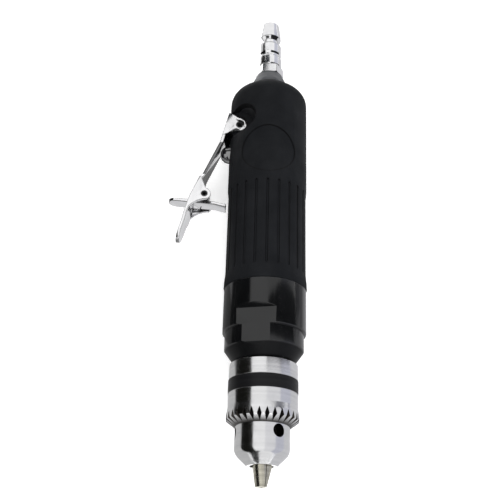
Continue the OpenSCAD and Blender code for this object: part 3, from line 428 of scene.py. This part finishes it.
FINISHES = {
    "grip_rubber": moulded("grip_rubber", (0.0050, 0.0056, 0.0068), (0.0110, 0.0120, 0.0140), 0.68, 2300.0,
                           specular=0.16, ring=GRIP_RECESS),
    "casting": gloss_paint("casting", (0.011, 0.0115, 0.013), (0.03, 0.03, 0.032), 0.5),
    "gloss_black": gloss_paint("gloss_black", (0.0030, 0.0032, 0.0036), (0.022, 0.023, 0.025), 0.13, 0.5,
                               SATIN_END),
    "grey_plating": turned("grey_plating", (0.080, 0.083, 0.088), (0.120, 0.124, 0.130), 0.42, 3000.0, 0.6),
    # chrome plating, with a painted dark reflection on all its corners
    "chrome_plating": plated("chrome_plating", (0.62, 0.62, 0.63), (0.84, 0.84, 0.85), 0.07,
                             edge_shade=(0.05, 0.05, 0.052)),
    "screen_mesh": plated("screen_wire", (0.42, 0.41, 0.38), (0.62, 0.61, 0.58), 0.28),
    "felt": moulded("felt", (0.10, 0.095, 0.085), (0.19, 0.18, 0.16), 0.9, 1500.0, 0.2 * MM, 0.8, 0.1),
    "liner_steel": turned("liner_steel", (0.33, 0.33, 0.34), (0.50, 0.50, 0.51), 0.30),
    "gear_steel": turned("gear_steel", (0.30, 0.30, 0.31), (0.46, 0.46, 0.47), 0.34),
    "seal_rubber": moulded("seal_rubber", (0.008, 0.008, 0.009), (0.018, 0.018, 0.019), 0.5, 3000.0),
    "spring_steel": plated("spring_steel", (0.035, 0.035, 0.036), (0.075, 0.074, 0.072), 0.30),
    "bearing_steel": plated("bearing_steel", (0.50, 0.51, 0.52), (0.70, 0.71, 0.72), 0.12),
    "pin_steel": turned("pin_steel", (0.020, 0.020, 0.021), (0.040, 0.040, 0.042), 0.36, 4200.0, 0.7),
    "valve_brass": turned("valve_brass", (0.48, 0.34, 0.14), (0.70, 0.52, 0.25), 0.26),
    "button_plastic": gloss_paint("button_plastic", (0.006, 0.006, 0.007), (0.016, 0.016, 0.017), 0.14, 0.8,
                                  coat=1.0, coat_index=2.6),
    "vane_resin": moulded("vane_resin", (0.08, 0.05, 0.025), (0.16, 0.11, 0.06), 0.6),
    "spindle_steel": turned("spindle_steel", (0.36, 0.36, 0.37), (0.55, 0.55, 0.56), 0.26),
    "chuck_steel": chuck_finish("chuck_steel", False),
    "sleeve_steel": chuck_finish("key_sleeve_steel", True),
    "nut_steel": turned("nut_steel", (0.30, 0.30, 0.31), (0.44, 0.44, 0.45), 0.32),
    "jaw_steel": turned("jaw_steel", (0.30, 0.285, 0.235), (0.60, 0.575, 0.48), 0.22, 3600.0),
}


# Mesh helpers

# the material slot that the bevel gives to the faces of a broken corner, and how far an outer one turns
CORNER_SLOT, CORNER_TURN = 1, 0.03
# corners sharper than this angle, in degrees, are broken, and flat faces join within the second
BEND_LIMIT, FLAT_LIMIT = 32.0, 0.4
# how close loose corners are joined, and the shortest edge that stays
WELD, SHORTEST = 0.002 * MM, 0.001 * MM
# for finishes with painted shade in their recesses: how far a face may look across a recess, and what else
# counts as one
RECESSED = {
    "grip_rubber": (3.0 * MM, "walls"),
    "chuck_steel": (7.5 * MM, "floors"),
    "sleeve_steel": (7.5 * MM, "flanks"),
}
# how far above its face a look starts
LOOK_START = 0.02 * MM
# least lean of a flank round the tool axis, most lean of a wall outwards, and where the outer skin begins
FLANK_LEAN, WALL_LEAN, OUTER_SHARE = 0.2, 0.75, 0.88


def new_piece(name, mesh, body, material, spans=None):
    """A finished piece at the origin, riding on its body, or, where spans are given, on no body at all."""
    made = bpy.data.objects.new(name, mesh)
    scene.collection.objects.link(made)
    mesh.materials.clear()
    mesh.materials.append(material)
    if spans:
        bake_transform(made)
    else:
        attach(made, body)
    return made


def mark_faces(mesh, name, marks):
    """Stores one number for each face, which the finishes read."""
    mesh.attributes.new(name, "FLOAT", "FACE").data.foreach_set("value", marks)


def mark_corners(mesh):
    """Marks the small faces that break an outer corner, which the rubbed edges follow."""
    shape = bmesh.new()
    shape.from_mesh(mesh)
    marks = []
    for face in shape.faces:
        turn = max(line.calc_face_angle_signed(0.0) for line in face.edges)
        marks.append(1.0 if face.material_index == CORNER_SLOT and turn > CORNER_TURN else 0.0)
    shape.free()
    mark_faces(mesh, "corner", marks)


def walled_in(tree, start, normal, reach):
    """Whether slanted looks to all four sides meet a wall, as on the floor of a blind hole."""
    lean = normal.orthogonal().normalized()
    for quarter in range(4):
        turn = Matrix.Rotation(math.radians(90.0 * quarter), 3, normal)
        if tree.ray_cast(start, (normal + turn @ lean).normalized(), reach)[0] is None:
            return False
    return True


# the recess mark that this leaves is where the finishes paint shade
def mark_recesses(mesh, reach, also):
    """Marks the faces that look at another face of the same piece close by, such as the wall of a hole.

    One more kind counts too. Flanks lean round the tool axis, as on the key teeth, walls stand across
    the outer skin, as at the edge of the round recess, and floors have a wall round them.
    """
    widest = max(math.hypot(point.co.x, point.co.z) for point in mesh.vertices)
    shape = bmesh.new()
    shape.from_mesh(mesh)
    tree = BVHTree.FromBMesh(shape)
    marks = []
    for face in shape.faces:
        middle, normal = face.calc_center_median(), face.normal
        start = middle + normal * LOOK_START
        out = Vector((middle.x, 0.0, middle.z)).normalized()
        deep = tree.ray_cast(start, normal, reach)[0] is not None
        if not deep and also == "flanks":
            deep = abs(normal.dot(Vector((out.z, 0.0, -out.x)))) > FLANK_LEAN
        elif not deep and also == "walls":
            outside = math.hypot(middle.x, middle.z) > OUTER_SHARE * widest
            deep = outside and abs(normal.dot(out)) < WALL_LEAN
        elif not deep and also == "floors":
            deep = walled_in(tree, start, normal, reach)
        marks.append(1.0 if deep else 0.0)
    shape.free()
    mark_faces(mesh, "recess", marks)


def merged_mesh(node):
    """A copy of a CAD node's mesh with its loose triangles joined and its flat faces whole."""
    mesh = nodes[node].data.copy()
    shape = bmesh.new()
    shape.from_mesh(mesh)
    bmesh.ops.remove_doubles(shape, verts=shape.verts, dist=WELD)
    bmesh.ops.dissolve_degenerate(shape, dist=SHORTEST, edges=shape.edges)
    bmesh.ops.dissolve_limit(shape, angle_limit=math.radians(FLAT_LIMIT), verts=shape.verts,
                             edges=shape.edges)
    shape.to_mesh(mesh)
    shape.free()
    return mesh


def working_object(name, mesh):
    """An object that carries a modifier until its shape is solved."""
    work = bpy.data.objects.new(name + "_work", mesh)
    scene.collection.objects.link(work)
    return work


def solved(work, name):
    """The evaluated shape of a working object as a plain mesh; the working object goes."""
    bpy.context.view_layer.update()
    graph = bpy.context.evaluated_depsgraph_get()
    mesh = bpy.data.meshes.new_from_object(work.evaluated_get(graph), depsgraph=graph)
    mesh.name = name
    bpy.data.objects.remove(work)
    return mesh


def smooth(mesh, angle):
    """Smooth shading with hard lines past an angle."""
    mesh.polygons.foreach_set("use_smooth", [True] * len(mesh.polygons))
    mesh.set_sharp_from_angle(angle=math.radians(angle))


def rounded(node, name, body, slot, width, rounds, hard):
    """A piece that stands for a CAD node with its corners broken by a small radius."""
    start = merged_mesh(node)
    start.materials.clear()
    start.materials.append(FINISHES[slot])
    start.materials.append(FINISHES[slot])
    work = working_object(name, start)
    bevel = work.modifiers.new("corners", "BEVEL")
    bevel.width = width
    bevel.segments = rounds
    bevel.limit_method = "ANGLE"
    bevel.angle_limit = math.radians(BEND_LIMIT)
    bevel.use_clamp_overlap = True
    bevel.miter_outer = "MITER_ARC"
    bevel.material = CORNER_SLOT
    mesh = solved(work, name)
    smooth(mesh, hard)
    mark_corners(mesh)
    if slot in RECESSED:
        mark_recesses(mesh, *RECESSED[slot])
    mesh.polygons.foreach_set("material_index", [0] * len(mesh.polygons))
    made = new_piece(name, mesh, body, FINISHES[slot])
    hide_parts(node)


# Pieces

SLOT_OF = {part["node"]: part["material_slot"] for part in frame["record"]["subparts"]}
for name, thing in nodes.items():
    slot = SLOT_OF.get(name)
    if slot in FINISHES:
        thing.data.materials.clear()
        thing.data.materials.append(FINISHES[slot])

# angles in degrees past which a line shows, on pressed and moulded pieces and on turned ones
SOFT_LINES, CRISP_LINES = 40.0, 9.0
# CAD node, piece, body, radius of its corners in mm, facets in a corner, and its lines
ROUNDED = [
    ("grip_sleeve", "grip", "housing", 0.22, 2, SOFT_LINES),
    ("gear_housing", "gear_case", "housing", 0.30, 3, CRISP_LINES),
    ("inlet_bushing", "bushing", "housing", 0.30, 3, CRISP_LINES),
    ("air_plug", "plug", "housing", 0.16, 2, CRISP_LINES),
    ("throttle_lever", "lever_channel", "lever", 0.45, 3, SOFT_LINES),
    ("lock_latch", "latch_plate", "latch", 0.45, 3, SOFT_LINES),
    ("lever_pin", "pivot_pin", "housing", 0.20, 3, CRISP_LINES),
    ("latch_pin", "latch_hinge_pin", "lever", 0.18, 3, CRISP_LINES),
    ("throttle_button", "button", "throttle", 0.25, 3, SOFT_LINES),
    ("chuck_body", "chuck_nose", "spindle", 0.25, 3, CRISP_LINES),
    ("chuck_sleeve", "chuck_key_sleeve", "key_sleeve", 0.14, 2, CRISP_LINES),
    ("chuck_jaw_1", "jaw_a", "jaw_1", 0.12, 2, CRISP_LINES),
    ("chuck_jaw_2", "jaw_b", "jaw_2", 0.12, 2, CRISP_LINES),
    ("chuck_jaw_3", "jaw_c", "jaw_3", 0.12, 2, CRISP_LINES),
]
for node, name, body, width, rounds, lines in ROUNDED:
    rounded(node, name, body, SLOT_OF[node], width * MM, rounds, lines)


# Springs and bearing balls

def new_tree(name, inputs):
    """A geometry tree with named inputs and one shape as its result."""
    tree = bpy.data.node_groups.new(name, "GeometryNodeTree")
    for label, kind in inputs:
        tree.interface.new_socket(label, in_out="INPUT", socket_type=kind)
    tree.interface.new_socket("Geometry", in_out="OUTPUT", socket_type="NodeSocketGeometry")
    return tree, tree.nodes.new("NodeGroupInput").outputs, tree.nodes.new("NodeGroupOutput").inputs


def finish_tree(tree, shape, given, out):
    """Makes the copies real, smooths them and gives them their material."""
    real = add_node(tree, "GeometryNodeRealizeInstances", Geometry=shape)
    soft = add_node(tree, "GeometryNodeSetShadeSmooth", Geometry=real.outputs[0])
    coated = add_node(tree, "GeometryNodeSetMaterial", Geometry=soft.outputs[0], Material=given["Material"])
    tree.links.new(coated.outputs[0], out["Geometry"])
    return tree


def make_ball_ring():
    """Balls spaced evenly round a circle."""
    tree, given, out = new_tree("ball_ring", [
        ("Balls", "NodeSocketInt"), ("Circle Radius", "NodeSocketFloat"), ("Ball Radius", "NodeSocketFloat"),
        ("Material", "NodeSocketMaterial")])
    circle = add_node(tree, "GeometryNodeMeshCircle", Vertices=given["Balls"], Radius=given["Circle Radius"])
    ball = add_node(tree, "GeometryNodeMeshUVSphere", Segments=32, Rings=16, Radius=given["Ball Radius"])
    copies = add_node(tree, "GeometryNodeInstanceOnPoints", Points=circle.outputs[0],
                      Instance=ball.outputs[0])
    return finish_tree(tree, copies.outputs[0], given, out)


def make_coil():
    """Round wire wound in a coil, with a straight leg at each end."""
    tree, given, out = new_tree("coil", [
        ("Curls", "NodeSocketFloat"), ("Coil Radius", "NodeSocketFloat"), ("Height", "NodeSocketFloat"),
        ("Wire Radius", "NodeSocketFloat"), ("First Leg", "NodeSocketVector"),
        ("Last Leg", "NodeSocketVector"), ("Material", "NodeSocketMaterial")])
    radius, height = given["Coil Radius"], given["Height"]
    wound = add_node(tree, "GeometryNodeCurveSpiral", Resolution=48, Rotations=given["Curls"], Height=height,
                     Reverse=True, Start_Radius=radius, End_Radius=radius)
    start = add_node(tree, "ShaderNodeCombineXYZ", X=radius).outputs[0]
    end = add_node(tree, "ShaderNodeCombineXYZ", X=radius, Z=height).outputs[0]
    section = add_node(tree, "GeometryNodeCurvePrimitiveCircle", Resolution=14, Radius=given["Wire Radius"])
    lines = [wound.outputs[0]]
    for foot, leg in ((start, "First Leg"), (end, "Last Leg")):
        tip = tree.nodes.new("ShaderNodeVectorMath")
        tree.links.new(foot, tip.inputs[0])
        tree.links.new(given[leg], tip.inputs[1])
        straight = add_node(tree, "GeometryNodeCurvePrimitiveLine", Start=foot, End=tip.outputs[0])
        lines.append(straight.outputs[0])
    joined = tree.nodes.new("GeometryNodeJoinGeometry")
    for line in lines:
        tree.links.new(line, joined.inputs[0])
    wire = add_node(tree, "GeometryNodeCurveToMesh", Curve=joined.outputs[0],
                    Profile_Curve=section.outputs[0], Fill_Caps=True)
    return finish_tree(tree, wire.outputs[0], given, out)


def grown(tree, name, values):
    """The mesh that a geometry tree makes with the given inputs."""
    work = working_object(name, bpy.data.meshes.new(name + "_start"))
    grow = work.modifiers.new("shape", "NODES")
    grow.node_group = tree
    for item in tree.interface.items_tree:
        if item.in_out == "INPUT":
            grow[item.identifier] = values[item.name]
    return solved(work, name)


def set_in_place(mesh, node, name, body, slot, columns, origin, spans=None):
    """Turns a mesh so that its axes lie along the given directions, and sets it for a CAD node."""
    turn = Matrix(columns).transposed().to_4x4()
    mesh.transform(Matrix.Translation(Vector(origin) * MM) @ turn)
    made = new_piece(name, mesh, body, FINISHES[slot], spans)
    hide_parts(node)


BALL_RING, COIL = make_ball_ring(), make_coil()
ROUND_AXIS = [(1, 0, 0), (0, 0, -1), (0, 1, 0)]
# CAD node, piece, number of balls, radii of their circle and of a ball, and their station, in mm
BEARINGS = [
    ("spindle_bearing_balls", "spindle_balls", 9, 10.0, 2.38, 55.3),
    ("front_bearing_balls", "front_rotor_balls", 7, 7.5, 1.95, 82.35),
    ("rear_bearing_balls", "rear_rotor_balls", 7, 7.5, 1.95, 135.35),
]
for node, name, balls, ring, ball, station in BEARINGS:
    mesh = grown(BALL_RING, name, {"Balls": balls, "Circle Radius": ring * MM, "Ball Radius": ball * MM,
                                   "Material": FINISHES["bearing_steel"]})
    set_in_place(mesh, node, name, "housing", "bearing_steel", ROUND_AXIS, (0, station, 0))

mesh = grown(COIL, "valve_coil", {
    "Curls": 4.0, "Coil Radius": 3.0 * MM, "Height": 7.5 * MM, "Wire Radius": 0.3 * MM,
    "First Leg": (0, 0.01 * MM, 0), "Last Leg": (0, 0.01 * MM, 0), "Material": FINISHES["spring_steel"]})
set_in_place(mesh, "valve_spring", "valve_coil", "throttle", "spring_steel",
             [(0, -1, 0), (0, 0, -1), (1, 0, 0)], (4.2, 160.8, 0),
             ("housing", (3.9 * MM, 160.8 * MM, 0), (12.0 * MM, 160.8 * MM, 0)))
mesh = grown(COIL, "latch_coil", {
    "Curls": 2.0, "Coil Radius": 2.4 * MM, "Height": 1.9 * MM, "Wire Radius": 0.25 * MM,
    "First Leg": (0, -4.5 * MM, 0), "Last Leg": (0, 4.5 * MM, 0), "Material": FINISHES["spring_steel"]})
set_in_place(mesh, "latch_spring", "latch_coil", "lever", "spring_steel",
             [(-1, 0, 0), (0, 1, 0), (0, 0, -1)], (-31.7, 133.4, -3.9))


# Stage

def stage_paper(name, colour, own_light):
    """Plain matte paper, with an even light of its own that only the camera, mirrors and glass see."""
    made, tree, shader = blank(name)
    grain = placed(tree, MOULDED_GRAIN, Pebble_Scale=300.0, Patch_Scale=4.0)
    darker = tuple(c * 0.985 for c in colour)
    feed(tree, shader, Base_Color=mixed(tree, grain["Patches"], colour, darker), Roughness=0.9,
         Specular_IOR_Level=0.0, Emission_Color=(1, 1, 1, 1),
         Emission_Strength=scaled(tree, seen_plainly(tree), own_light))
    return made


def board_material(name, glow):
    """A surface with its own even light and no reflection."""
    made, tree, shader = blank(name)
    feed(tree, shader, Base_Color=(0, 0, 0, 1), Specular_IOR_Level=0.0, Emission_Color=(*glow, 1),
         Emission_Strength=1.0)
    return made


def facing_corners(centre, aim, width, height):
    """The corners of a rectangle at a place, facing a point."""
    turn = (Vector(aim) - Vector(centre)).normalized().to_track_quat("Z", "Y")
    across, up = width / 2, height / 2
    corners = [(-across, -up, 0), (across, -up, 0), (across, up, 0), (-across, up, 0)]
    return [Vector(centre) + turn @ Vector(corner) for corner in corners]


def panel(name, corners, material):
    """A flat stage surface between four corners."""
    mesh = bpy.data.meshes.new(name)
    mesh.from_pydata([tuple(corner) for corner in corners], [], [(0, 1, 2, 3)])
    mesh.materials.append(material)
    made = bpy.data.objects.new(name, mesh)
    scene.collection.objects.link(made)
    return made


def card(name, corners, glow):
    """A board with its own light that only shows in reflections."""
    made = panel(name, corners, board_material(name, glow))
    made.visible_camera = False
    made.visible_diffuse = False
    made.visible_shadow = False
    made.visible_transmission = False


def soft_lamp(name, centre, width, height, power, seen):
    """A soft box over the tool; one that isn't seen gives light but no reflection of itself."""
    lamp = bpy.data.lights.new(name, "AREA")
    lamp.shape = "RECTANGLE"
    lamp.size, lamp.size_y = width, height
    lamp.energy = power
    made = bpy.data.objects.new(name, lamp)
    made.location = centre
    made.rotation_euler = (MIDDLE - Vector(centre)).to_track_quat("-Z", "Y").to_euler()
    made.visible_glossy = seen
    scene.collection.objects.link(made)


MIDDLE = Vector((0.0, 0.11, 0.0))
NOSE = (0.0, 8.0 * MM, 0.0)
FLOOR_LEVEL = cad_box[0][2] - 0.2 * MM
TABLE_LEVEL, UPPER_LEVEL, NECK_LEVEL = FLOOR_LEVEL + 0.6 * MM, FLOOR_LEVEL + 1.2 * MM, 0.05
FLOOR_SIDE = 8.0
panel("floor", facing_corners((0.0, 0.1, FLOOR_LEVEL), (0.0, 0.1, 10.0), FLOOR_SIDE, FLOOR_SIDE),
      stage_paper("floor_paper", (0.9, 0.9, 0.9), 0.45))

LILAC = (0.62, 0.63, 0.71)
# boards beside the tool: the span of angles that they fill, from straight up and towards the right,
# their distance from the axis, their ends along the tool, and their own light
ARC_CARDS = [
    ("left_card", -92.0, -42.0, 0.70, 0.10, 0.80, (0.01, 0.01, 0.01)),
    ("right_card", 8.0, 92.0, 0.70, -1.0, 0.47, (0.02, 0.02, 0.022)),
    ("right_end_card", 45.0, 86.0, 0.70, 0.47, 1.2, LILAC),
    ("chuck_left_card", -92.0, -37.0, 0.10, -0.15, 0.0725, (0.006, 0.006, 0.005)),
    ("chuck_top_card", -37.0, 10.0, 0.10, -0.15, 0.0725, (1.06, 1.06, 1.06)),
    ("chuck_right_card", 10.0, 53.0, 0.10, -0.15, 0.0725, (0.88, 0.88, 0.90)),
    ("chuck_side_card", 53.0, 95.0, 0.10, -0.15, 0.0725, LILAC),
    ("plug_card", -48.0, 0.0, 0.10, 0.277, 0.298, (0.02, 0.024, 0.03)),
]
for name, low, high, distance, near, far, glow in ARC_CARDS:
    middle, half = math.radians((low + high) / 2), math.radians((high - low) / 2)
    station = (near + far) / 2
    centre = (distance * math.sin(middle), station, distance * math.cos(middle))
    card(name, facing_corners(centre, (0.0, station, 0.0), far - near, 2 * distance * math.tan(half)), glow)

# boards that lie level: their left and right sides, their ends along the tool, their level and own light
LEVEL_CARDS = [
    ("neck_dark_card", -0.065, -0.012, 0.187, 0.203, NECK_LEVEL, (0.02, 0.02, 0.02)),
    ("neck_mid_card", -0.065, -0.012, 0.175, 0.187, NECK_LEVEL, (0.22, 0.22, 0.22)),
    ("latch_table", -0.12, -0.020, 0.112, 0.143, TABLE_LEVEL, (0.70, 0.70, 0.71)),
    ("neck_table", -0.12, -0.020, 0.143, 0.21, TABLE_LEVEL, (0.16, 0.16, 0.16)),
    ("left_chuck_table", -0.40, -0.012, -0.20, 0.066, TABLE_LEVEL, (0.60, 0.60, 0.60)),
    ("left_table", -0.12, -0.012, 0.066, 0.112, TABLE_LEVEL, (0.25, 0.25, 0.25)),
    ("left_far_table", -0.72, -0.12, 0.066, 0.48, TABLE_LEVEL, (0.03, 0.03, 0.03)),
    ("right_table", 0.012, 0.40, -0.20, 0.60, TABLE_LEVEL, (0.70, 0.70, 0.72)),
    ("right_near_table", 0.055, 0.10, 0.080, 0.135, UPPER_LEVEL, (0.40, 0.40, 0.42)),
    ("right_mid_table", 0.10, 0.20, 0.105, 0.17, UPPER_LEVEL, (0.26, 0.26, 0.28)),
    ("right_far_table", 0.20, 0.72, 0.14, 0.50, UPPER_LEVEL, (0.20, 0.20, 0.22)),
]
for name, left, right, near, far, level, glow in LEVEL_CARDS:
    card(name, [(left, near, level), (right, near, level), (right, far, level), (left, far, level)], glow)

card("front_left_card", facing_corners((-0.185, -0.44, 0.17), NOSE, 0.23, 0.40), (0.02, 0.02, 0.02))

# soft boxes: their place, width, height and power, and whether they show in reflections
LAMPS = [
    ("flat_box", (-0.24, 0.50, 0.79), 0.60, 0.77, 0.15, True),
    ("key_box", (-0.15, -0.60, 0.95), 0.9, 0.6, 8.0, False),
    ("right_strip", (0.80, 0.55, 0.42), 0.16, 0.9, 4.5, False),
    ("fill_box", (0.35, 0.20, 1.2), 0.9, 0.9, 4.0, False),
]
for lamp in LAMPS:
    soft_lamp(*lamp)

# the backdrop is white where it is seen, and lights the tool with less than half of that
world = bpy.data.worlds.new("studio")
scene.world = world
world.use_nodes = True
sky = world.node_tree
feed(sky, sky.nodes["Background"], Color=(1, 1, 1, 1),
     Strength=span(sky, seen_plainly(sky), 0.0, 1.0, 0.45, 1.0))


# Camera

# measured on the photo: the view's lean, its turn round the tool and its roll, in degrees
LEAN, ROUND, ROLL = (math.radians(angle) for angle in (24.69, 0.86, 1.15))
# in the photo's pixels: its side, the focal length, and the point that the camera faces squarely
PHOTO_SIDE, FOCAL_LENGTH, AXIS_X, AXIS_Y = 500.0, 844.0, 265.9, 252.7
AIM, DISTANCE, SENSOR_WIDTH = Vector((0.0, 0.105, 0.0)), 0.42, 36.0
towards = Vector((-math.sin(ROUND) * math.cos(LEAN), -math.sin(LEAN), math.cos(ROUND) * math.cos(LEAN)))
sideways = (-towards).cross(Vector((0, 1, 0))).normalized()
upright = sideways.cross(-towards)
right = sideways * math.cos(ROLL) + upright * math.sin(ROLL)
up = upright * math.cos(ROLL) - sideways * math.sin(ROLL)
lens = bpy.data.cameras.new("photo_view")
lens.sensor_fit = "HORIZONTAL"
lens.sensor_width = SENSOR_WIDTH
lens.lens = FOCAL_LENGTH * SENSOR_WIDTH / PHOTO_SIDE
lens.shift_x = (PHOTO_SIDE / 2 - AXIS_X) / PHOTO_SIDE
lens.shift_y = (AXIS_Y - PHOTO_SIDE / 2) / PHOTO_SIDE
lens.clip_start = 0.01
camera = bpy.data.objects.new("photo_view", lens)
scene.collection.objects.link(camera)
turn = Matrix((right, up, towards)).transposed().to_4x4()
camera.matrix_world = Matrix.Translation(AIM + towards * DISTANCE) @ turn
scene.camera = camera
